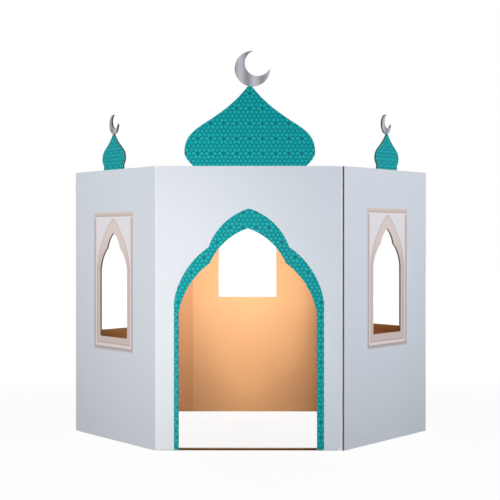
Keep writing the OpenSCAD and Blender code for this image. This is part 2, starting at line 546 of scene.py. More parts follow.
@dataclass
class Flat:
    """Flat stretch of a sheet: the wall it belongs to, its frame, its outlines and its print."""

    side: Side
    plane: Plane
    solids: list[Loop]
    cuts: list[Loop] = field(default_factory=list)
    prints: list[tuple[Loop, Field]] = field(default_factory=list)
    map_origin: Vector = field(default_factory=lambda: Vector((0.0, 0.0)))
    is_lap: bool = False

    def triangles(self, printed: bool) -> tuple[list[Vector], list[tuple[list[int], Field]]]:
        """Fills the outlines with triangles.

        Args:
            printed: Whether the triangles also keep to the outlines of the print.

        Returns:
            The points of the plane, and each triangle's corners with its field of colour.
        """
        prints = self.prints if printed else []
        points: list[Vector] = []
        rings = []
        for loop in [*self.solids, *self.cuts, *(loop for loop, _ in prints)]:
            rings.append(list(range(len(points), len(points) + len(loop))))
            points += loop
        verts, _, faces, _, _, inside = delaunay_2d_cdt(points, [], rings, 1, SAME_PLACE)
        first_cut = len(self.solids)
        first_print = first_cut + len(self.cuts)
        kept = []
        for corners, owners in zip(faces, inside):
            solid = any(o < first_cut for o in owners)
            cut = any(first_cut <= o < first_print for o in owners)
            if solid and not cut:
                over = max((o for o in owners if o >= first_print), default=None)
                tone = Field.WALL if over is None else prints[over - first_print][1]
                kept.append((list(corners), tone))
        return verts, kept

    def spans(self, x: float) -> list[Span]:
        """Gives the stretches of an upright line at x that are board."""
        solid = united(span for loop in self.solids for span in crossings(loop, x))
        return without(solid, united(span for loop in self.cuts for span in crossings(loop, x)))

    def strips(self, board: Board, pitch: float, nudge: float = 0.001) -> Iterator[list[Span]]:
        """Cuts the board into upright strips that end a little inside its edges.

        Args:
            board: The board's layers.
            pitch: Distance between two flutes.
            nudge: Share of a step by which the outermost strips stay inside.

        Yields:
            The corners of each strip.
        """
        runs = [p.x for loop in self.solids for p in loop]
        start, end = min(runs), max(runs)
        count = round((end - start) * board.flute_steps / pitch)
        steps = [min(max(step, nudge), count - nudge) for step in range(count + 1)]
        recess = board.flute_recess
        columns = []
        for x in (start + (end - start) * step / count for step in steps):
            long = [(low, high) for low, high in self.spans(x) if high - low > board.flute_least]
            columns.append((x, [(low + recess, high - recess) for low, high in long]))
        for (x, here), (x_next, there) in pairwise(columns):
            if len(here) != len(there):
                continue
            for (a, b), (c, d) in zip(here, there):
                if max(a, c) < min(b, d):
                    yield [(x, a), (x_next, c), (x_next, d), (x, b)]


@dataclass(frozen=True)
class Bend:
    """Step round a crease: its offset from the corner, the way out, how far it is bent, its run."""

    offset: Vector
    out: Vector
    share: float
    run: float


@dataclass
class Fold:
    """Pressed crease along a straight axis, from one flat stretch to the next."""

    side: Side
    corner: Vector
    axis: Vector
    span: Span
    before: Vector
    before_out: Vector
    after: Vector
    after_out: Vector
    tone: Field = Field.WALL
    ramp_steps: int = 5
    ramp_share: float = 0.5
    turn_steps: int = 10

    def section(self, board: Board, depth: float) -> list[Bend]:
        """Follows one layer of the board round the crease.

        Args:
            board: The board's layers.
            depth: The layer's distance from the inner face.

        Returns:
            The steps, from the flat stretch before the crease to the one after it.
        """
        deep = board.pressed(depth)
        ramp = []
        for step in range(self.ramp_steps + 1):
            t = step / self.ramp_steps
            sunk = depth + (deep - depth) * t * t * (3 - 2 * t)
            ramp.append((board.crease_w * (1 - t), sunk, self.ramp_share * t))
        section = []
        for back, at, share in ramp:
            offset = at * self.before_out - back * self.before
            section.append(Bend(offset, self.before_out, share, -back))
        turn = self.before_out.rotation_difference(self.after_out)
        for step in range(1, self.turn_steps):
            out = Quaternion().slerp(turn, step / self.turn_steps) @ self.before_out
            section.append(Bend(deep * out, out, 1.0, 0.0))
        for on, at, share in reversed(ramp):
            offset = at * self.after_out + on * self.after
            section.append(Bend(offset, self.after_out, share, on))
        return section

    def at(self, bend: Bend, height: float) -> Vector:
        """Gives a point of the crease by its step and its height along the axis."""
        return self.corner + bend.offset + height * self.axis


# Meshes


def placed(name: str, data: bpy.types.ID) -> bpy.types.Object:
    """Makes an object of a mesh, a lamp or a camera.

    Args:
        name: The object's name.
        data: What it shows.

    Returns:
        The new object, in the scene.
    """
    made = bpy.data.objects.new(name, data)
    bpy.context.scene.collection.objects.link(made)
    return made


def baked(piece: bpy.types.Object) -> bpy.types.Object:
    """Turns a piece with its modifiers into a plain mesh.

    Args:
        piece: The object, with its modifiers set.

    Returns:
        The same object, with the result as its own mesh.
    """
    bpy.context.view_layer.update()
    graph = bpy.context.evaluated_depsgraph_get()
    result = bpy.data.meshes.new_from_object(piece.evaluated_get(graph))
    result.name = piece.name
    piece.modifiers.clear()
    piece.data = result
    return piece


def smooth_by_angle(piece: bpy.types.Object, degrees: float) -> None:
    """Shades a piece smooth, with sharp edges where its faces turn by more than an angle."""
    piece.data.shade_smooth()
    piece.data.set_sharp_from_angle(angle=math.radians(degrees))


class MeshMaker:
    """Gathers faces that look a given way, and makes an object of them."""

    def __init__(self) -> None:
        """Starts an empty mesh."""
        self.mesh = bmesh.new()

    def close(self, verts: Sequence[bmesh.types.BMVert], out: Vector) -> bmesh.types.BMFace:
        """Makes a face and turns it to look outwards.

        Args:
            verts: Its corners.
            out: The way that it has to look.

        Returns:
            The new face.
        """
        made = self.mesh.faces.new(verts)
        made.normal_update()
        if made.normal.dot(out) < 0:
            made.normal_flip()
        return made

    def merge(self) -> None:
        """Merges corners that stand in one place."""
        bmesh.ops.remove_doubles(self.mesh, verts=self.mesh.verts, dist=SAME_PLACE)

    def finish(self, name: str) -> bpy.types.Object:
        """Merges the faces' corners and makes an object.

        Args:
            name: The object's name.

        Returns:
            The new object, in the scene.
        """
        self.merge()
        data = bpy.data.meshes.new(name)
        self.mesh.to_mesh(data)
        self.mesh.free()
        return placed(name, data)


class StripMaker(MeshMaker):
    """Gathers the flat strips that flutes are bent from, with their run and the way out."""

    def __init__(self) -> None:
        """Starts an empty mesh with the two marks."""
        super().__init__()
        self.run = self.mesh.verts.layers.float.new(RUN_MARK)
        self.outward = self.mesh.verts.layers.float_vector.new(OUTWARD_MARK)

    def strip(self, plane: Plane, corners: Sequence[Span], depth: float) -> None:
        """Adds one strip.

        Args:
            plane: The plane of its board.
            corners: Its corners' places in that plane.
            depth: Its distance from the inner face.
        """
        verts = []
        for x, z in corners:
            vert = self.mesh.verts.new(plane.at(x, z, depth))
            vert[self.run] = x
            vert[self.outward] = plane.out
            verts.append(vert)
        self.close(verts, plane.out)


class LinerMaker(MeshMaker):
    """Gathers a liner's faces with their material slot, their place on the print and their folds."""

    def __init__(self) -> None:
        """Starts an empty mesh with a map of the print and the fold mark."""
        super().__init__()
        self.place = self.mesh.loops.layers.uv.new(PRINT_MAP)
        self.fold = self.mesh.verts.layers.float.new(FOLD_MARK)

    def face(self, points: Sequence[Vector], places: Sequence[Vector], out: Vector, slot: int,
             folds: Sequence[float] | None = None) -> None:
        """Adds a face that looks outwards.

        Args:
            points: Its corners.
            places: The corners' places on the print.
            out: The way that the face has to look.
            slot: Its material slot.
            folds: How far each corner is on a fold, if any is.
        """
        verts = [self.mesh.verts.new(p) for p in points]
        place_of = dict(zip(verts, places))
        for vert, mark in zip(verts, folds or [0.0] * len(verts)):
            vert[self.fold] = mark
        made = self.close(verts, out)
        made.material_index = slot
        for corner in made.loops:
            corner[self.place].uv = place_of[corner.vert]

    def split_at_neighbours(self, shortest: float = 0.02, clear: float = 1e-4) -> None:
        """Splits each long open edge where a neighbour's corner stands on it, so that the two can meet.

        Args:
            shortest: Length under which an edge is left as it is.
            clear: How far from the edge's ends the corner has to stand.
        """
        rim = [edge for edge in self.mesh.edges if edge.is_boundary]
        corners = [vert.co.copy() for vert in {vert for edge in rim for vert in edge.verts}]
        for edge in rim:
            here, end = edge.verts
            length = edge.calc_length()
            if length < shortest:
                continue
            way = (end.co - here.co) / length
            steps = []
            for corner in corners:
                step = (corner - here.co).dot(way)
                aside = (here.co + step * way - corner).length
                if clear < step < length - clear and aside < SAME_PLACE:
                    steps.append(step)
            done = 0.0
            for step in sorted(steps):
                _, here = bmesh.utils.edge_split(edge, here, (step - done) / (length - done))
                edge = next(part for part in here.link_edges if end in part.verts)
                done = step

    def finish(self, name: str) -> bpy.types.Object:
        """Joins neighbours corner to corner and makes an object.

        Args:
            name: The object's name.

        Returns:
            The new object, in the scene.
        """
        self.merge()
        self.split_at_neighbours()
        return super().finish(name)


# Finishes


class Value:
    """Number on a node's socket that takes part in Python expressions."""

    def __init__(self, tree: "NodeTree", socket: bpy.types.NodeSocket) -> None:
        """Wraps a socket of a tree."""
        self.tree = tree
        self.socket = socket

    def __add__(self, other: Any) -> "Value":
        """Adds."""
        return self.tree.math("ADD", self, other)

    __radd__ = __add__

    def __sub__(self, other: Any) -> "Value":
        """Subtracts."""
        return self.tree.math("SUBTRACT", self, other)

    def __rsub__(self, other: Any) -> "Value":
        """Subtracts from a number."""
        return self.tree.math("SUBTRACT", other, self)

    def __mul__(self, other: Any) -> "Value":
        """Multiplies."""
        return self.tree.math("MULTIPLY", self, other)

    __rmul__ = __mul__

    def __truediv__(self, other: Any) -> "Value":
        """Divides."""
        return self.tree.math("DIVIDE", self, other)

    def __abs__(self) -> "Value":
        """Drops the sign."""
        return self.tree.math("ABSOLUTE", self)

    def least(self, other: Any) -> "Value":
        """Gives the smaller of two numbers."""
        return self.tree.math("MINIMUM", self, other)

    def most(self, other: Any) -> "Value":
        """Gives the larger of two numbers."""
        return self.tree.math("MAXIMUM", self, other)

    def root(self) -> "Value":
        """Gives the square root."""
        return self.tree.math("SQRT", self)

    def sine(self) -> "Value":
        """Gives the sine of an angle in radians."""
        return self.tree.math("SINE", self)

    def folded(self, period: float) -> "Value":
        """Folds a repeat at its middle, so that the number runs from 0 to half the period and back."""
        return self.tree.math("PINGPONG", self, period / 2)

    def eased(self, low: float, high: float) -> "Value":
        """Rises smoothly from 0 at low to 1 at high."""
        inputs = {"Value": self, "From Min": low, "From Max": high}
        made = self.tree.node("ShaderNodeMapRange", inputs, interpolation_type="SMOOTHSTEP")
        return Value(self.tree, made.outputs["Result"])


class NodeTree:
    """Node tree whose nodes are written as expressions."""

    def __init__(self, tree: bpy.types.NodeTree) -> None:
        """Takes the nodes and links of a tree."""
        self.nodes = tree.nodes
        self.links = tree.links

    def node(self, kind: str, inputs: dict[Any, Any] | None = None, **settings: Any) -> bpy.types.Node:
        """Adds a node.

        Args:
            kind: Its type.
            inputs: Values or links of its sockets, by name or number.
            **settings: Values of its own, and stops for a ramp, all set before the sockets.

        Returns:
            The new node.
        """
        made = self.nodes.new(kind)
        for name, value in settings.items():
            if name == "stops":
                self.set_stops(made.color_ramp, value)
            else:
                setattr(made, name, value)
        for name, value in (inputs or {}).items():
            self.feed(made.inputs[name], value)
        return made

    def feed(self, socket: bpy.types.NodeSocket, value: Any) -> None:
        """Links a socket or sets its own number or colour.

        Args:
            socket: The socket.
            value: A value or another socket to link it to, or what it is set to.
        """
        source = value.socket if isinstance(value, Value) else value
        if isinstance(source, bpy.types.NodeSocket):
            self.links.new(source, socket)
        else:
            socket.default_value = source

    @staticmethod
    def set_stops(ramp: bpy.types.ColorRamp, stops: Stops) -> None:
        """Sets a ramp's stops.

        Args:
            ramp: The ramp.
            stops: Its positions and colours.
        """
        while len(ramp.elements) < len(stops):
            ramp.elements.new(1.0)
        for element, (position, colour) in zip(ramp.elements, stops):
            element.position = position
            element.color = colour

    def math(self, operation: str, *values: Any) -> Value:
        """Adds one Math node."""
        made = self.node("ShaderNodeMath", dict(enumerate(values)), operation=operation)
        return Value(self, made.outputs[0])

    def mix(self, share: Any, first: Any, second: Any) -> bpy.types.NodeSocket:
        """Mixes two colours."""
        made = self.node("ShaderNodeMix", {0: share, 6: first, 7: second}, data_type="RGBA")
        return made.outputs[2]

    def ramp(self, value: Any, stops: Stops) -> bpy.types.NodeSocket:
        """Reads a colour ramp."""
        return self.node("ShaderNodeValToRGB", {0: value}, stops=stops).outputs[0]

    def seen(self) -> Value:
        """Tells what is looked at from what gives light.

        Returns:
            1 where it is looked at, also in gloss or through glass, and 0 where it gives light.
        """
        path = self.node("ShaderNodeLightPath").outputs
        rays = ("Is Camera Ray", "Is Glossy Ray", "Is Transmission Ray")
        straight, gloss, glass = (Value(self, path[name]) for name in rays)
        return straight.most(gloss).most(glass)


class FinishTree(NodeTree):
    """Nodes of one material."""

    def __init__(self, name: str) -> None:
        """Starts a material with one Principled shader.

        Args:
            name: The material's name.
        """
        self.material = bpy.data.materials.new(name)
        self.material.use_nodes = True
        super().__init__(self.material.node_tree)
        self.shader = self.nodes["Principled BSDF"]

    def place(self) -> tuple[Value, Value]:
        """Reads the map of the print.

        Returns:
            The place along the wall and up it.
        """
        source = self.node("ShaderNodeUVMap", uv_map=PRINT_MAP)
        along, up, _ = self.node("ShaderNodeSeparateXYZ", {0: source.outputs[0]}).outputs
        return Value(self, along), Value(self, up)

    def ridges(self, pitch: float) -> Value:
        """Gives the waves of the flutes behind the paper, from -1 to 1."""
        along, _ = self.place()
        return (along * (FULL_TURN / pitch)).sine()

    def noise(self, size: float, detail: float = 3.0, stretch: Triple = (1.0, 1.0, 1.0)) -> Value:
        """Gives noise over the object's own coordinates.

        Args:
            size: Size of its spots.
            detail: Octaves.
            stretch: How much finer it is along each axis.

        Returns:
            The noise, around a half.
        """
        source = self.node("ShaderNodeTexCoord")
        scaled = self.node("ShaderNodeMapping", {0: source.outputs["Object"], 3: stretch})
        inputs = {"Vector": scaled.outputs[0], "Scale": 1 / size, "Detail": detail}
        return Value(self, self.node("ShaderNodeTexNoise", inputs).outputs["Fac"])

    def attribute(self, name: str) -> Value:
        """Reads a number that the mesh carries."""
        return Value(self, self.node("ShaderNodeAttribute", attribute_name=name).outputs["Fac"])

    def bump(self, height: Value, distance: float) -> None:
        """Roughens the surface by a height between 0 and 1 times a distance."""
        made = self.node("ShaderNodeBump", {"Height": height, "Distance": distance, "Strength": 1.0})
        self.dress(Normal=made.outputs[0])

    def dress(self, **sockets: Any) -> None:
        """Feeds the shader's sockets, named with _ for a space."""
        for name, value in sockets.items():
            self.feed(self.shader.inputs[name.replace("_", " ")], value)


@dataclass(frozen=True)
class Paper:
    """What all printed paper shares: its sheen, its mottling, its fold crests whitened by wear and a painted
    highlight, and the flutes behind it.
    """

    roughness: float = 0.42
    roughness_spread: float = 0.10
    specular: float = 0.12
    mottle_size: float = 0.16
    mottle: float = 0.035
    mottle_tone: Colour = ink(150, 158, 170)
    mottle_bump: float = 6.0
    fibre_size: float = 0.0022
    fibre_detail: float = 2.0
    fibre_bump: float = 0.9
    washboard_pitch: float = Board.coarse_pitch
    washboard: float = 0.00002
    # Whitening of fold crests: partly wear, partly a painted highlight where the rounded crease catches light
    wear_and_highlight: Colour = ink(250, 251, 253)
    wear_and_highlight_share: float = 0.90
    wear_roughness: float = 0.2
    wear_and_highlight_fold: Span = (0.55, 1.0)
    wear_and_highlight_fibre: Span = (0.24, 0.54)

    def apply(self, tree: FinishTree, colour: Any) -> bpy.types.Material:
        """Gives a tree's shader this paper under a printed colour.

        Args:
            tree: The finish's tree.
            colour: The printed colour, or the socket that it comes from.

        Returns:
            The tree's material.
        """
        mottle = tree.noise(self.mottle_size)
        fibre = tree.noise(self.fibre_size, self.fibre_detail)
        shade = tree.mix(self.mottle * mottle, colour, self.mottle_tone)
        # Fold crests whitened in fibre specks: wear together with a painted highlight
        folded = tree.attribute(FOLD_MARK).eased(*self.wear_and_highlight_fold)
        crest_wear_and_highlight = folded * fibre.eased(*self.wear_and_highlight_fibre) * self.wear_and_highlight_share
        rough = self.roughness + self.roughness_spread * (mottle - 0.5)
        tree.dress(
            Base_Color=tree.mix(crest_wear_and_highlight, shade, self.wear_and_highlight),
            Roughness=rough + self.wear_roughness * crest_wear_and_highlight,
            Specular_IOR_Level=self.specular,
        )
        ridged = 0.5 + 0.5 * tree.ridges(self.washboard_pitch)
        grain = self.fibre_bump * (fibre - 0.5) + self.mottle_bump * (mottle - 0.5)
        tree.bump(ridged + grain, self.washboard)
        return tree.material


@dataclass(frozen=True)
class PlainPrint:
    """Field of one printed colour."""

    name: str
    colour: Colour
    paper: Paper = Paper()

    def material(self) -> bpy.types.Material:
        """Builds the material."""
        return self.paper.apply(FinishTree(self.name), self.colour)


@dataclass(frozen=True)
class Tile:
    """Tile of the lattice, in pitches: its centre, what is added to its size, and its kind."""

    centre: Vector
    gain: float = 0.0
    is_hexagon: bool = False


@dataclass(frozen=True)
class LatticePrint:
    """Teal lattice of six-petalled stars between hexagons, drawn by which tile is nearest."""

    name: str
    star: Span
    tile: Colour = ink(26, 184, 188)
    hexagon: Colour = ink(10, 172, 178)
    line: Colour = ink(0, 120, 130)
    pitch: float = 0.0643
    column_w: float = math.cos(math.radians(30))
    petal_turns: Triple = (0.0, 60.0, 120.0)
    petal_ring: float = 0.274
    hexagon_turns: Span = (30.0, 90.0)
    hexagon_ring: float = 0.5
    hexagon_gain: float = 0.034
    hexagon_blur: float = 0.01
    pair_reach: float = 0.152
    pair_loss: float = 0.020
    line_w: float = 0.085
    line_core: float = 0.35
    paper: Paper = Paper(mottle=0.0, specular=0.045, wear_and_highlight_share=0.30)

    def tiles(self) -> list[Tile]:
        """Lists the tiles that reach into a quarter of the repeat.

        Returns:
            The tiles, from a star's petals outwards.
        """
        star = Vector((0.0, 0.0))
        half = self.column_w / 2
        petals = [Tile(spoke(star, self.petal_ring, math.radians(turn))) for turn in self.petal_turns]
        hexagons = [Tile(spoke(star, self.hexagon_ring, math.radians(turn)), self.hexagon_gain, True)
                    for turn in self.hexagon_turns]
        pair = [Tile(Vector((half + reach, 0.5)), -self.pair_loss)
                for reach in (-self.pair_reach, self.pair_reach)]
        return [*petals, *hexagons, *pair, Tile(Vector((2 * half - self.petal_ring, 0.0)))]

    def material(self) -> bpy.types.Material:
        """Builds the material.

        Returns:
            The material.
        """
        tree = FinishTree(self.name)
        along, up = tree.place()
        x = ((along - self.star[0]) / self.pitch).folded(self.column_w)
        y = ((up - self.star[1]) / self.pitch).folded(1.0)
        nearest = second = hexagon = None
        for tile in self.tiles():
            across = x - tile.centre.x
            rise = y - tile.centre.y
            distance = (across * across + rise * rise).root() - tile.gain
            if nearest is None:
                nearest = distance
                continue
            runner_up = nearest.most(distance)
            second = runner_up if second is None else second.least(runner_up)
            nearest = nearest.least(distance)
            if tile.is_hexagon:
                hexagon = distance if hexagon is None else hexagon.least(distance)
        in_hexagon = 1.0 - (hexagon - nearest).eased(0.0, self.hexagon_blur)
        teal = tree.mix(in_hexagon, self.tile, self.hexagon)
        edge = (second - nearest).eased(self.line_core * self.line_w, self.line_w)
        return self.paper.apply(tree, tree.mix(edge, self.line, teal))


@dataclass(frozen=True)
class SilverPrint:
    """Silver ink of the crescents, shaded in upright bands."""

    name: str = Field.CRESCENT.value
    dark: Colour = ink(134, 133, 139)
    light: Colour = ink(192, 195, 203)
    band: float = 0.064
    band_share: float = 0.40
    light_at: float = 0.022
    brush_size: float = 0.006
    brush_detail: float = 2.0
    brush_stretch: Triple = (1.0, 1.0, 0.08)
    brush_share: float = 0.12
    metal: float = 0.25
    paper: Paper = Paper(roughness=0.34)

    def material(self) -> bpy.types.Material:
        """Builds the material.

        Returns:
            The material.
        """
        tree = FinishTree(self.name)
        along, _ = tree.place()
        wave = ((along - self.light_at) * (FULL_TURN / self.band) + math.pi / 2).sine()
        brushed = tree.noise(self.brush_size, self.brush_detail, self.brush_stretch)
        share = 0.5 + self.band_share * wave + self.brush_share * (brushed - 0.5)
        tree.dress(Metallic=self.metal)
        return self.paper.apply(tree, tree.mix(share, self.dark, self.light))


@dataclass(frozen=True)
class Moulding:
    """Printed frame of a window: stepped lines inside a rectangle, with a soft shadow round it."""

    half_w: float = 0.1875
    height: float = 0.6185
    shadow: float = 0.018
    shadow_start: float = 0.45
    dark_w: float = 0.009
    light_w: float = 0.013
    step_w: float = 0.007
    cornice_h: float = 0.021
    cornice_light: float = 0.006
    blur: float = 0.0012
    dark: Colour = ink(188, 178, 178)
    light: Colour = ink(244, 229, 228)
    step: Colour = ink(201, 184, 183)
    band: Colour = ink(221, 204, 200)
    bar_high: Colour = ink(232, 220, 216)
    bar_low: Colour = ink(204, 187, 184)
    bar_line: Colour = ink(249, 242, 242)
    spandrel: Colour = ink(241, 239, 245)
    arch_line: Colour = ink(212, 200, 196)
    arch: Colour = ink(235, 219, 216)
    arch_line_w: float = 0.006
    outline: Arch = Arch(0.320, 0.0, 0.366, 0.158, 0.514, 0.583, 0.220, 0.180)
    paper: Paper = Paper()

    def frame_material(self) -> bpy.types.Material:
        """Builds the stepped lines and the soft shadow, by the distance from the frame's edge.

        Returns:
            The material.
        """
        tree = FinishTree(Field.MOULDING.value)
        along, up = tree.place()
        inset = (self.half_w - abs(along)).least(up).least(self.height - up)
        reach = self.shadow + self.dark_w + self.light_w + 2 * self.step_w
        edges = [self.shadow]
        for width in (self.dark_w, self.light_w, self.step_w):
            edges.append(edges[-1] + width)
        soft = self.blur / reach
        shares = [edge / reach for edge in edges]
        rim = shares[0]
        stops = [(0.0, WALL_WHITE), (self.shadow_start * rim, WALL_WHITE), (rim - soft, self.bar_low)]
        colours = (self.dark, self.light, self.step, self.band)
        for (start, end), colour in zip(pairwise([*shares, 1.0]), colours):
            stops += [(start + soft, colour), (end - soft, colour)]
        return self.paper.apply(tree, tree.ramp((inset + self.shadow) / reach, stops))

    def cornice_material(self) -> bpy.types.Material:
        """Builds the bar across the top, which darkens downwards and ends in a light line.

        Returns:
            The material.
        """
        tree = FinishTree(Field.CORNICE.value)
        _, up = tree.place()
        reach = self.cornice_h + self.cornice_light
        line = self.cornice_h / reach
        soft = self.blur / reach
        bar = [(0.0, self.bar_high), (line - soft, self.bar_low)]
        light = [(line + soft, self.bar_line), (1.0, self.bar_line)]
        return self.paper.apply(tree, tree.ramp((self.height - up) / reach, bar + light))

    def arch_material(self) -> bpy.types.Material:
        """Builds the arch, which grows lighter upwards from the frame's band at its springing.

        Returns:
            The material.
        """
        tree = FinishTree(Field.ARCH.value)
        _, up = tree.place()
        share = up.eased(self.outline.spring, self.outline.cusp_h)
        return self.paper.apply(tree, tree.mix(share, self.band, self.arch))

    def fields(self, middle: float) -> list[tuple[Loop, Field]]:
        """Draws the frame's fields round a window.

        Args:
            middle: Where the print's middle stands along the wall.

        Returns:
            Each field's outline, in the frame's own height, from the lowest field to the highest.
        """
        shaded_w = 2 * (self.half_w + self.shadow)
        inner_w = 2 * (self.half_w - self.dark_w - self.light_w)
        bar = self.height - self.cornice_h - self.cornice_light
        return [
            (centred(middle, shaded_w, -self.shadow, self.height), Field.MOULDING),
            (centred(middle, inner_w, self.outline.spring, bar), Field.SPANDREL),
            (centred(middle, 2 * self.half_w, bar, self.height), Field.CORNICE),
            (self.arch_loop(middle, self.arch_line_w), Field.ARCH_LINE),
            (self.arch_loop(middle, 0.0), Field.ARCH),
        ]

    def arch_loop(self, middle: float, grow: float) -> Loop:
        """Draws the arch round a window, down to its springing."""
        return self.outline.loop(middle, grow)[1:-1]


@dataclass(frozen=True)
class Kraft:
    """Brown unprinted paper, with fibres, specks and the shallow lines of the flutes behind it."""

    name: str
    colour: Colour = ink(226, 173, 117)
    deep: Colour = ink(194, 136, 80)
    speck: Colour = ink(120, 78, 44)
    roughness: float = 0.78
    roughness_spread: float = 0.12
    specular: float = 0.10
    cloud_size: float = 0.22
    cloud_detail: float = 4.0
    cloud_range: Span = (0.3, 0.8)
    cloud_share: float = 0.12
    fibre_size: float = 0.0030
    fibre_detail: float = 3.0
    fibre_stretch: Triple = (1.0, 1.0, 0.25)
    fibre_share: float = 0.22
    fibre_bump: float = 0.8
    speck_size: float = 0.0016
    speck_detail: float = 1.0
    speck_range: Span = (0.70, 0.76)
    speck_share: float = 0.35
    ridge_share: float = 0.03
    washboard_pitch: float = Board.coarse_pitch
    washboard: float = 0.00006

    def material(self) -> bpy.types.Material:
        """Builds the material.

        Returns:
            The material.
        """
        tree = FinishTree(self.name)
        clouds = tree.noise(self.cloud_size, self.cloud_detail).eased(*self.cloud_range)
        fibre = tree.noise(self.fibre_size, self.fibre_detail, self.fibre_stretch)
        specks = tree.noise(self.speck_size, self.speck_detail).eased(*self.speck_range)
        ridge = tree.ridges(self.washboard_pitch)
        shade = tree.mix(self.cloud_share * clouds, self.colour, self.deep)
        shade = tree.mix(self.fibre_share * fibre, shade, self.deep)
        shade = tree.mix(self.ridge_share + self.ridge_share * ridge, shade, self.deep)
        tree.dress(
            Base_Color=tree.mix(self.speck_share * specks, shade, self.speck),
            Roughness=self.roughness + self.roughness_spread * (fibre - 0.5),
            Specular_IOR_Level=self.specular,
        )
        tree.bump(0.5 + 0.5 * ridge + self.fibre_bump * (fibre - 0.5), self.washboard)
        return tree.material


@dataclass
class Finishes:
    """Materials of the board, made once."""

    printed: dict[Field, bpy.types.Material]
    lining: bpy.types.Material
    # lap: the lining's kraft printed darker, as painted shade on the lap flaps
    lap: bpy.types.Material
    core: bpy.types.Material

    @classmethod
    def make(cls, house: House) -> "Finishes":
        """Builds every finish.

        Args:
            house: The sizes that the print is placed by.

        Returns:
            The finishes.
        """
        frame = Moulding()
        printed = {
            Field.WALL: PlainPrint(Field.WALL.value, WALL_WHITE).material(),
            Field.DOME: LatticePrint(Field.DOME.value, house.dome_star).material(),
            Field.CRESCENT: SilverPrint().material(),
            Field.BAND: LatticePrint(Field.BAND.value, house.band_star).material(),
            Field.MOULDING: frame.frame_material(),
            Field.SPANDREL: PlainPrint(Field.SPANDREL.value, frame.spandrel).material(),
            Field.CORNICE: frame.cornice_material(),
            Field.ARCH_LINE: PlainPrint(Field.ARCH_LINE.value, frame.arch_line).material(),
            Field.ARCH: frame.arch_material(),
        }
        return cls(
            printed,
            Kraft("kraft_lining").material(),
            # The laps' kraft is the lining's paper made darker: painted shade
            Kraft("kraft_lap_painted_shade", ink(216, 158, 104), ink(190, 132, 80)).material(),
            Kraft("kraft_cut_edge", ink(122, 106, 94), ink(100, 86, 74)).material(),
        )


# Flutes


class FluteTree(NodeTree):
    """Geometry Nodes that bend flat strips of paper into flutes and give them their thickness."""

    NAME = "corrugate"
    SIZES = ("Height", "Pitch", "Paper")

    def __init__(self) -> None:
        """Builds the tree once, for every fluted layer."""
        self.group = bpy.data.node_groups.new(self.NAME, "GeometryNodeTree")
        super().__init__(self.group)
        self.socket("Geometry", "NodeSocketGeometry", "INPUT")
        for name in self.SIZES:
            self.socket(name, "NodeSocketFloat", "INPUT")
        self.socket("Finish", "NodeSocketMaterial", "INPUT")
        self.socket("Geometry", "NodeSocketGeometry", "OUTPUT")
        self.build()

    def socket(self, name: str, kind: str, way: str) -> None:
        """Adds a socket to the tree's interface."""
        self.group.interface.new_socket(name, in_out=way, socket_type=kind)

    def mark(self, name: str, kind: str) -> bpy.types.NodeSocket:
        """Reads a mark that the strips carry."""
        made = self.node("GeometryNodeInputNamedAttribute", {"Name": name}, data_type=kind)
        return made.outputs["Attribute"]

    def build(self) -> None:
        """Bends the strips along their run, thickens them and closes their edges."""
        given = self.node("NodeGroupInput").outputs
        flat = given["Geometry"]
        height, pitch, paper = (Value(self, given[name]) for name in self.SIZES)
        wave = (Value(self, self.mark(RUN_MARK, "FLOAT")) / pitch * FULL_TURN).sine()
        swing = {0: self.mark(OUTWARD_MARK, "FLOAT_VECTOR"), "Scale": wave * ((height - paper) * 0.5)}
        offset = self.node("ShaderNodeVectorMath", swing, operation="SCALE").outputs[0]
        bent = self.node("GeometryNodeSetPosition", {"Geometry": flat, "Offset": offset}).outputs[0]
        depth = {"Mesh": bent, "Offset Scale": paper, "Individual": False}
        front = self.node("GeometryNodeExtrudeMesh", depth, mode="FACES").outputs[0]
        back = self.node("GeometryNodeFlipFaces", {0: bent}).outputs[0]
        both = self.node("GeometryNodeJoinGeometry")
        for side in (front, back):
            self.feed(both.inputs[0], side)
        joined = {"Geometry": both.outputs[0], "Distance": SAME_PLACE}
        closed = self.node("GeometryNodeMergeByDistance", joined).outputs[0]
        real = self.node("GeometryNodeRealizeInstances", {0: closed}).outputs[0]
        finish = {"Geometry": real, "Material": given["Finish"]}
        self.node("NodeGroupOutput", {0: self.node("GeometryNodeSetMaterial", finish).outputs[0]})

    def apply(self, strips: bpy.types.Object, **inputs: Any) -> bpy.types.Object:
        """Bends a piece's flat strips.

        Args:
            strips: The flat strips, with their run and outward marks.
            **inputs: The tree's inputs by name.

        Returns:
            The same object as a plain mesh.
        """
        modifier = strips.modifiers.new(self.NAME, "NODES")
        modifier.node_group = self.group
        for item in self.group.interface.items_tree:
            if item.in_out == "INPUT" and item.name in inputs:
                modifier[item.identifier] = inputs[item.name]
        return baked(strips)


# The two sheets


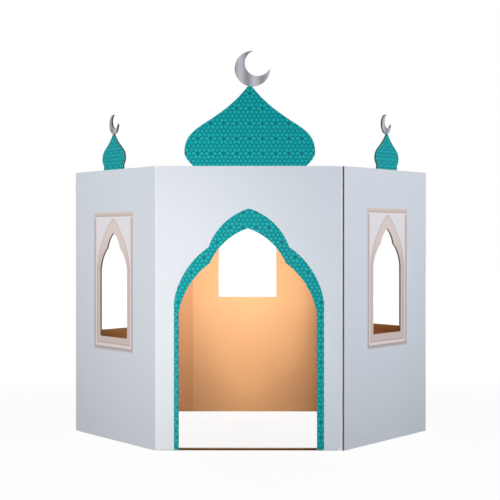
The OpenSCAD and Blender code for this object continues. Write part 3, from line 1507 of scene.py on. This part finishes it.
class Sheet:
    """One folded sheet of board, built as its paper layers."""

    LINER_SMOOTH = 25.0
    FLUTE_SMOOTH = 40.0

    def __init__(self, name: str, node: str, board: Board) -> None:
        """Starts a sheet.

        Args:
            name: Start of its pieces' names.
            node: The part that its pieces stand for.
            board: The board that it is made of.
        """
        self.name = name
        self.node = node
        self.board = board
        self.flats: list[Flat] = []
        self.folds: list[Fold] = []

    def liner(self, name: str, depth: float, finishes: Finishes,
              side: Side | None = None) -> bpy.types.Object:
        """Makes one smooth paper layer: printed and facing outwards, or brown and facing inwards.

        Args:
            name: End of the piece's name.
            depth: Distance of the layer's face from the board's inner face.
            finishes: The materials.
            side: The wall whose print the layer carries, or None for a brown layer of the whole sheet.

        Returns:
            The layer.
        """
        printed = side is not None
        way = 1.0 if printed else -1.0
        slots = {tone: slot for slot, tone in enumerate(Field)}
        maker = LinerMaker()
        for flat in self.flats:
            if side not in (None, flat.side):
                continue
            points, faces = flat.triangles(printed)
            for corners, tone in faces:
                maker.face(
                    [flat.plane.at(*points[i], depth) for i in corners],
                    [points[i] - flat.map_origin for i in corners],
                    way * flat.plane.out,
                    # Lap flaps take the darker kraft, which is painted shade
                    slots[tone] if printed else int(flat.is_lap),
                )
        for fold in self.folds:
            if side in (None, fold.side):
                self.line_fold(maker, fold, depth, way, slots[fold.tone] if printed else 0)
        piece = maker.finish(f"{self.name}_{name}")
        faced = [finishes.printed[tone] for tone in Field] if printed else [finishes.lining, finishes.lap]
        self.thicken(piece, [*faced, finishes.core])
        return piece

    def line_fold(self, maker: LinerMaker, fold: Fold, depth: float, way: float, slot: int) -> None:
        """Adds one layer's strip round a fold.

        Args:
            maker: What gathers the layer.
            fold: The fold.
            depth: Distance of the layer's face from the board's inner face.
            way: 1 where the layer faces outwards, and -1 where it faces inwards.
            slot: Its material slot.
        """
        low, high = fold.span
        for p, q in pairwise(fold.section(self.board, depth)):
            corners = ((p, low), (q, low), (q, high), (p, high))
            maker.face(
                [fold.at(bend, height) for bend, height in corners],
                [Vector((bend.run, height)) for bend, height in corners],
                way * (p.out + q.out),
                slot,
                [bend.share for bend, _ in corners],
            )

    def thicken(self, piece: bpy.types.Object, materials: Sequence[bpy.types.Material]) -> None:
        """Gives a liner its paper's thickness.

        Args:
            piece: The liner's face.
            materials: The face's materials, and last the one of its back and its cut edges.
        """
        for material in materials:
            piece.data.materials.append(material)
        paper = piece.modifiers.new("paper", "SOLIDIFY")
        paper.thickness = self.board.liner
        paper.offset = -1.0
        paper.use_even_offset = True
        paper.material_offset = len(materials)
        paper.material_offset_rim = len(materials)
        smooth_by_angle(baked(piece), self.LINER_SMOOTH)

    def flutes(self, medium: Medium, tree: FluteTree, finish: bpy.types.Material) -> bpy.types.Object:
        """Makes one fluted medium of the whole sheet.

        Args:
            medium: The layer.
            tree: The Geometry Nodes that bend it.
            finish: Its material.

        Returns:
            The medium.
        """
        maker = StripMaker()
        depth = medium.low + (medium.height - self.board.medium) / 2
        for flat in self.flats:
            for corners in flat.strips(self.board, medium.pitch):
                maker.strip(flat.plane, corners, depth)
        piece = maker.finish(f"{self.name}_{medium.name}")
        tree.apply(piece, Height=medium.height, Pitch=medium.pitch, Paper=self.board.medium, Finish=finish)
        smooth_by_angle(piece, self.FLUTE_SMOOTH)
        return piece

    def build(self, finishes: Finishes, tree: FluteTree) -> None:
        """Makes the sheet's layers and lets them stand for its node.

        Args:
            finishes: The materials.
            tree: The Geometry Nodes that bend the flutes.
        """
        pieces = []
        for side in dict.fromkeys(flat.side for flat in self.flats):
            pieces.append(self.liner(f"{side.name.lower()}_print", self.board.thickness, finishes, side))
        for name, depth in self.board.brown_liners.items():
            pieces.append(self.liner(name, depth, finishes))
        for medium in self.board.mediums:
            pieces.append(self.flutes(medium, tree, finishes.core))
        for piece in pieces:
            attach(piece, BODY)
            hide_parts(self.node)
            LOG.info("%s: %d faces", piece.name, len(piece.data.polygons))


class Ring:
    """Ring of six walls: lays out the two sheets' flat stretches and folds."""

    def __init__(self, house: House, front_face: float) -> None:
        """Places the ring.

        Args:
            house: The house's sizes.
            front_face: Where the front wall's printed face stands along Y.
        """
        self.house = house
        self.planes: dict[Side, Plane] = {}
        up = Vector((0.0, 0.0, 1.0))
        corner = Vector((-house.panel_w / 2, front_face + house.board.thickness, 0.0))
        for side, heading in zip(Side, house.headings):
            along = Vector((math.cos(heading), math.sin(heading), 0.0))
            self.planes[side] = Plane(corner.copy(), along, up, along.cross(up))
            corner += house.panel_w * along

    def wall(self, side: Side, start: float, end: float, cuts: list[Loop], foot: float = 0.0) -> Flat:
        """Lays out a wall between its creases or raw edges, with its openings."""
        return Flat(side, self.planes[side], [rectangle(start, end, foot, self.house.wall_h)], cuts)

    def domed(self, flat: Flat, dome: Onion, crescent: Crescent) -> Flat:
        """Adds a dome and its crescent to a wall.

        Args:
            flat: The wall.
            dome: The dome's outline.
            crescent: The crescent.

        Returns:
            The same wall.
        """
        middle = self.house.panel_w / 2
        outline = dome.loop(middle, self.house.wall_h)
        moon, cut = crescent.loops(middle, self.house.wall_h + dome.drum_h + dome.height)
        flat.solids += [outline, moon]
        flat.cuts.append(cut)
        flat.prints += [(outline, Field.DOME), (moon, Field.CRESCENT)]
        return flat

    def framed(self, flat: Flat, place: Span) -> Flat:
        """Adds a printed window frame to a wall.

        Args:
            flat: The wall.
            place: Where the print's middle stands along the wall, and the height of its lower edge.

        Returns:
            The same wall.
        """
        middle, foot = place
        flat.map_origin = Vector(place)
        for loop, tone in Moulding().fields(middle):
            flat.prints.append(([p + Vector((0.0, foot)) for p in loop], tone))
        return flat

    def lap_ends(self, inset: float) -> Span:
        """Gives the heights between which a crease runs that ends inside the wall's ends."""
        return inset, self.house.wall_h - inset

    def lap(self, side: Side, plane: Plane, inset: float) -> Flat:
        """Lays out a lap flap from its crease.

        Args:
            side: The wall that it is folded from.
            plane: Its plane.
            inset: How far its crease's ends stand inside the wall's ends.

        Returns:
            The flap.
        """
        low, high = self.lap_ends(inset)
        start, end = self.house.board.crease_w, self.house.lap_w
        slant = self.house.lap_slant
        corners = ((start, low), (end, low + slant), (end, high - slant), (start, high))
        return Flat(side, plane, [[Vector(corner) for corner in corners]], is_lap=True)

    def fold(self, side: Side, corner: Vector, before: Plane, after: Plane, inset: float = 0.0) -> Fold:
        """Makes an upright fold between two planes."""
        return Fold(side, corner, before.rise, self.lap_ends(inset),
                    before.along, before.out, after.along, after.out)

    def side_opening(self, rise: float) -> Loop:
        """Draws a rear side wall's plain opening."""
        low = self.house.side_open_sill + rise
        return centred(self.house.panel_w / 2, self.house.side_open_w, low, low + self.house.side_open_h)

    def front_sheet(self) -> Sheet:
        """Lays out the sheet with the doorway.

        Returns:
            The sheet.
        """
        house = self.house
        near = house.board.crease_w
        far = house.panel_w - near
        rear, rear_left = self.planes[Side.REAR], self.planes[Side.REAR_LEFT]
        front_left, front = self.planes[Side.FRONT_LEFT], self.planes[Side.FRONT]
        front_right = self.planes[Side.FRONT_RIGHT]
        rear_lap = rear.moved(house.panel_w + house.lap_lead, house.lap_in)
        front_lap = front_right.moved(-house.lap_lead, house.lap_in)
        window = house.window.loop(house.panel_w / 2)
        left_wall = self.framed(self.wall(Side.FRONT_LEFT, near, far, [window]), house.left_frame)
        sheet = Sheet("front_sheet", "front_wall_sheet", house.board)
        sheet.flats = [
            self.lap(Side.REAR_LEFT, rear_lap.turned_back(), house.rear_lap_inset),
            self.wall(Side.REAR_LEFT, house.lap_tuck + near, far, [self.side_opening(0.0)]),
            self.domed(left_wall, house.small_dome, house.left_crescent),
            self.front_wall(),
            self.lap(Side.FRONT, front_lap, house.front_lap_inset),
            self.threshold(),
        ]
        sheet.folds = [
            self.fold(Side.REAR_LEFT, rear_lap.origin, rear, rear_left, house.rear_lap_inset),
            self.fold(Side.FRONT_LEFT, front_left.origin, rear_left, front_left),
            self.fold(Side.FRONT, front.origin, front_left, front),
            self.fold(Side.FRONT, front.at(house.tucked_w, 0.0), front, front_right, house.front_lap_inset),
            *self.threshold_folds(),
        ]
        return sheet

    def rear_sheet(self) -> Sheet:
        """Lays out the sheet without the doorway.

        Returns:
            The sheet.
        """
        house = self.house
        near = house.board.crease_w
        far = house.panel_w - near
        middle = house.panel_w / 2
        rise = house.rear_sheet_rise
        front_right, rear_right = self.planes[Side.FRONT_RIGHT], self.planes[Side.REAR_RIGHT]
        rear = self.planes[Side.REAR]
        arched = house.window.lifted(rise).loop(middle)
        plain = centred(middle + house.rear_win_shift, house.rear_win_w,
                        house.rear_win_sill, house.rear_win_sill + house.rear_win_h)
        right_wall = self.wall(Side.FRONT_RIGHT, -house.raw_edge, far, [arched])
        right_wall = self.framed(right_wall, house.right_frame)
        sheet = Sheet("rear_sheet", "rear_wall_sheet", house.board)
        sheet.flats = [
            self.domed(right_wall, house.small_dome, house.right_crescent),
            self.wall(Side.REAR_RIGHT, near, far, [self.side_opening(rise)]),
            self.wall(Side.REAR, near, house.panel_w + house.raw_edge, [plain], house.rear_clear),
        ]
        sheet.folds = [
            self.fold(Side.REAR_RIGHT, rear_right.origin, front_right, rear_right),
            self.fold(Side.REAR, rear.origin, rear_right, rear),
        ]
        return sheet

    def front_wall(self) -> Flat:
        """Lays out the front wall with its doorway, its printed band and the large dome.

        Returns:
            The wall.
        """
        house = self.house
        crease = house.board.crease_w
        notch = centred(house.tucked_w / 2, house.tie_w + 2 * house.tie_relief,
                        -crease, house.board.thickness + crease)
        door = house.door.loop(house.door_middle)
        flat = self.wall(Side.FRONT, crease, house.tucked_w - crease, [door, notch])
        flat.map_origin = Vector((house.panel_w / 2, 0.0))
        flat.prints.append((house.band.loop(house.band_middle), Field.BAND))
        return self.domed(flat, house.dome, house.crescent)

    def threshold(self) -> Flat:
        """Lays out the flap that is folded in along the floor.

        Returns:
            The flap.
        """
        house = self.house
        front = self.planes[Side.FRONT]
        plane = Plane(front.at(0.0, house.board.thickness), front.along, -front.out, -front.rise)
        near, deep = house.board.crease_w, house.tie_depth
        start, end = house.tie_ends
        taper = house.tie_taper
        corners = ((start, near), (end, near), (end - taper, deep), (start + taper, deep))
        return Flat(Side.FRONT, plane, [[Vector(corner) for corner in corners]])

    def threshold_folds(self) -> list[Fold]:
        """Makes the flap's creases at the two jambs.

        Returns:
            The creases, split where the printed band ends.
        """
        house = self.house
        front = self.planes[Side.FRONT]
        corner = front.at(0.0, house.board.thickness)
        start, end = house.tie_ends
        left_jamb, right_jamb = house.door.jambs(house.door_middle)
        left_band, right_band = house.band.jambs(house.band_middle)
        spans = {
            (start, left_band): Field.WALL,
            (left_band, left_jamb): Field.BAND,
            (right_jamb, right_band): Field.BAND,
            (right_band, end): Field.WALL,
        }
        return [
            Fold(Side.FRONT, corner, front.along, span, -front.rise, front.out, -front.out, -front.rise, tone)
            for span, tone in spans.items()
        ]


# Camera, lamps and floor


def pointed(name: str, data: bpy.types.ID, place: Triple, aim: Triple) -> bpy.types.Object:
    """Makes a lamp or a camera that looks at a point.

    Args:
        name: The object's name.
        data: The lamp or the camera.
        place: Where it stands.
        aim: The point.

    Returns:
        The new object, in the scene.
    """
    made = placed(name, data)
    made.location = place
    made.rotation_euler = (Vector(aim) - Vector(place)).to_track_quat("-Z", "Y").to_euler()
    return made


class LampKind(Enum):
    """Kinds of lamp: two shapes of soft lamp, and a spot."""

    DISC = "DISK"
    STRIP = "RECTANGLE"
    SPOT = "SPOT"


@dataclass(frozen=True)
class Lamp:
    """One lamp: its kind, its place, what it looks at, its size, its power and its angle in degrees."""

    name: str
    kind: LampKind
    place: Triple
    aim: Triple
    size: float
    power: float
    tone: Triple = (1.0, 1.0, 1.0)
    angle: float = 180.0
    strip_h: float = 0.03

    def hang(self) -> None:
        """Hangs the lamp where the camera doesn't see it."""
        is_spot = self.kind is LampKind.SPOT
        data = bpy.data.lights.new(self.name, "SPOT" if is_spot else "AREA")
        data.energy = self.power
        data.color = self.tone
        if is_spot:
            data.shadow_soft_size = self.size
            data.spot_size = math.radians(self.angle)
            data.spot_blend = 1.0
        else:
            data.shape = self.kind.value
            data.size = self.size
            data.size_y = self.strip_h
            data.spread = math.radians(self.angle)
        pointed(self.name, data, self.place, self.aim).visible_camera = False


@dataclass(frozen=True)
class Studio:
    """Camera at the photograph's place, soft lamps, a pale floor and a white surround."""

    camera_side: float = 0.040
    camera_back: float = 6.462
    camera_height: float = 0.913
    aim_side: float = 0.0009
    aim_drop: float = 0.0518
    lens: float = 108.63
    sensor_w: float = 36.0
    floor_size: float = 60.0
    floor_grey: Colour = ink(130, 130, 130)
    floor_white: Colour = ink(250, 250, 250)
    floor_roughness: float = 0.9
    floor_glow: float = 0.86
    floor_glow_strength: float = 1.06
    floor_fade: Span = (1.2, 5.0)
    white: Colour = (1.0, 1.0, 1.0, 1.0)
    low_light: Colour = (0.30, 0.30, 0.31, 1.0)
    low_light_top: float = 0.20
    high_light: Colour = (0.05, 0.05, 0.05, 1.0)
    high_light_foot: float = 0.60
    lamps: tuple[Lamp, ...] = (
        Lamp("key", LampKind.SPOT, (-0.55, -4.20, 0.38), (-0.80, -0.69, 0.58), 0.20, 165.0,
             tone=(1.0, 0.96, 0.80), angle=42.0),
        Lamp("left_low", LampKind.SPOT, (-3.4, -2.4, 0.38), (-0.62, -0.34, 1.20), 0.20, 40.0, angle=42.0),
        Lamp("right_low", LampKind.SPOT, (3.4, -2.4, 0.38), (0.62, -0.34, 1.10), 0.20, 58.0, angle=42.0),
        Lamp("front", LampKind.DISC, (0.20, -5.2, 0.38), (0.1, -0.6, 0.7), 0.6, 84.0),
        Lamp("left", LampKind.DISC, (-3.6, -1.6, 2.4), (-0.6, -0.3, 0.9), 0.4, 46.0),
        Lamp("right", LampKind.DISC, (3.6, -1.6, 2.4), (0.6, -0.3, 0.9), 0.4, 53.0),
        Lamp("back_left", LampKind.DISC, (-2.8, 4.6, 0.38), (0.0, 0.6, 0.7), 0.8, 105.0),
        Lamp("back_right", LampKind.DISC, (2.8, 4.6, 0.38), (0.0, 0.6, 0.7), 0.8, 105.0),
        Lamp("inside", LampKind.STRIP, (-0.10, -0.62, 1.12), (-0.10, 0.68, 0.64), 0.66, 2.40,
             tone=(1.0, 1.02, 1.26), angle=60.0),
    )

    def camera(self, front_face: float) -> None:
        """Makes the camera.

        Args:
            front_face: Where the front wall's printed face stands along Y.
        """
        data = bpy.data.cameras.new("camera")
        data.lens = self.lens
        data.sensor_width = self.sensor_w
        place = (self.camera_side, front_face - self.camera_back, self.camera_height)
        aim = (self.aim_side, front_face, self.camera_height - self.aim_drop)
        bpy.context.scene.camera = pointed("camera", data, place, aim)

    def light(self) -> None:
        """Hangs the lamps."""
        for lamp in self.lamps:
            lamp.hang()

    def surround(self) -> None:
        """Makes the surround: white to the eye, and a soft ring of light near the horizon."""
        world = bpy.data.worlds.new("surround")
        bpy.context.scene.world = world
        world.use_nodes = True
        tree = NodeTree(world.node_tree)
        place = tree.node("ShaderNodeTexCoord").outputs["Generated"]
        height = tree.node("ShaderNodeSeparateXYZ", {0: place}).outputs["Z"]
        low = [(0.0, self.low_light), (self.low_light_top, self.low_light)]
        light = tree.ramp(height, [*low, (self.high_light_foot, self.high_light)])
        tree.feed(tree.nodes["Background"].inputs["Color"], tree.mix(tree.seen(), light, self.white))

    def floor(self) -> None:
        """Makes the floor: white to the eye with the object's shadow, and pale grey as it gives light."""
        half = self.floor_size / 2
        corners = [(*corner, 0.0) for corner in rectangle(-half, half, -half, half)]
        data = bpy.data.meshes.new("floor")
        data.from_pydata(corners, [], [range(len(corners))])
        tree = FinishTree("floor_white")
        seen = tree.seen()
        tree.dress(
            Base_Color=tree.mix(seen, self.floor_grey, self.floor_white),
            Roughness=self.floor_roughness,
            Specular_IOR_Level=0.0,
        )
        place = tree.node("ShaderNodeTexCoord").outputs["Object"]
        reach = tree.node("ShaderNodeVectorMath", {0: place}, operation="LENGTH").outputs["Value"]
        far = Value(tree, reach).eased(*self.floor_fade)
        share = self.floor_glow + (1.0 - self.floor_glow) * far
        glow = tree.node("ShaderNodeEmission", {"Color": self.white, "Strength": self.floor_glow_strength})
        parts = {0: seen * share, 1: tree.shader.outputs[0], 2: glow.outputs[0]}
        mixed = tree.node("ShaderNodeMixShader", parts)
        tree.feed(tree.nodes["Material Output"].inputs["Surface"], mixed.outputs[0])
        data.materials.append(tree.material)
        placed("floor", data)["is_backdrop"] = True


def main() -> None:
    """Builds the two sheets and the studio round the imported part."""
    logging.basicConfig(level=logging.INFO, format="%(name)s: %(message)s")
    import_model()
    cad_low, cad_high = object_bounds()
    house = House()
    ring = Ring(house, cad_low.y)
    studio = Studio()
    studio.camera(cad_low.y)
    finishes = Finishes.make(house)
    tree = FluteTree()
    for sheet in (ring.front_sheet(), ring.rear_sheet()):
        sheet.build(finishes, tree)
    studio.light()
    studio.surround()
    studio.floor()
    bpy.context.scene.view_settings.view_transform = "Standard"


if __name__ == "__main__":
    main()
